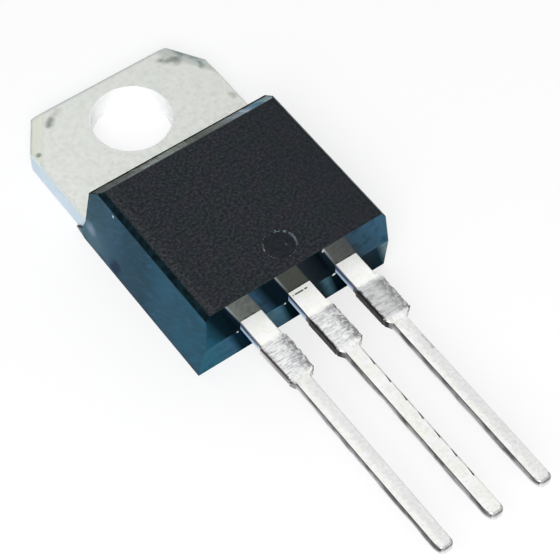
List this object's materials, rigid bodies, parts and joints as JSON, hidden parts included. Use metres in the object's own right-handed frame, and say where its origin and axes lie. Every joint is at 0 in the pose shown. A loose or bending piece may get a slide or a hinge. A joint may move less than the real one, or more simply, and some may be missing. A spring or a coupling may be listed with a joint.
{
  "type": "triac",
  "caption": "Insulated power triac in a moulded through-hole package: metal mounting tab with a screw hole, black epoxy body and flat tinned leads in line.",
  "frame": {"origin": "centre of the mounting hole, on the plane of the heat spreader's back face that goes against a heatsink", "axes": "+Z is the way the moulding's front face looks, out of the back face through the tab; +Y points to the tab's free end and the leads run to -Y; +X goes from the A1 lead to the gate lead"},
  "size_m": [0.0102, 0.0293, 0.0044],
  "materials": {
    "tinned_spreader": "matte tin plate on copper, coined corners",
    "moulded_epoxy": "fine-grained matte front face, polished draft sides",
    "tinned_lead": "bright solder-dipped tin, streaked where the dam bar was sheared",
    "solder": "soft solder, satin",
    "copper_foil": "bare copper foil",
    "copper_clip": "stamped copper strip",
    "alumina": "white alumina ceramic",
    "silicon": "silicon with silvery contacts"
  },
  "bodies": {
    "root": {"heat_spreader": "tinned_spreader", "moulding": "moulded_epoxy", "terminal_a1": "tinned_lead", "terminal_a2": "tinned_lead", "terminal_gate": "tinned_lead", "spreader_solder": "solder", "insulator_base_foil": "copper_foil", "insulator_tile": "alumina", "insulator_top_foil": "copper_foil", "paddle_solder": "solder", "die_solder": "solder", "triac_die": "silicon", "a1_clip": "copper_clip", "gate_clip": "copper_clip", "a1_post_solder": "solder", "gate_post_solder": "solder", "a1_die_joint": "solder", "gate_die_joint": "solder"}
  },
  "joints": []
}
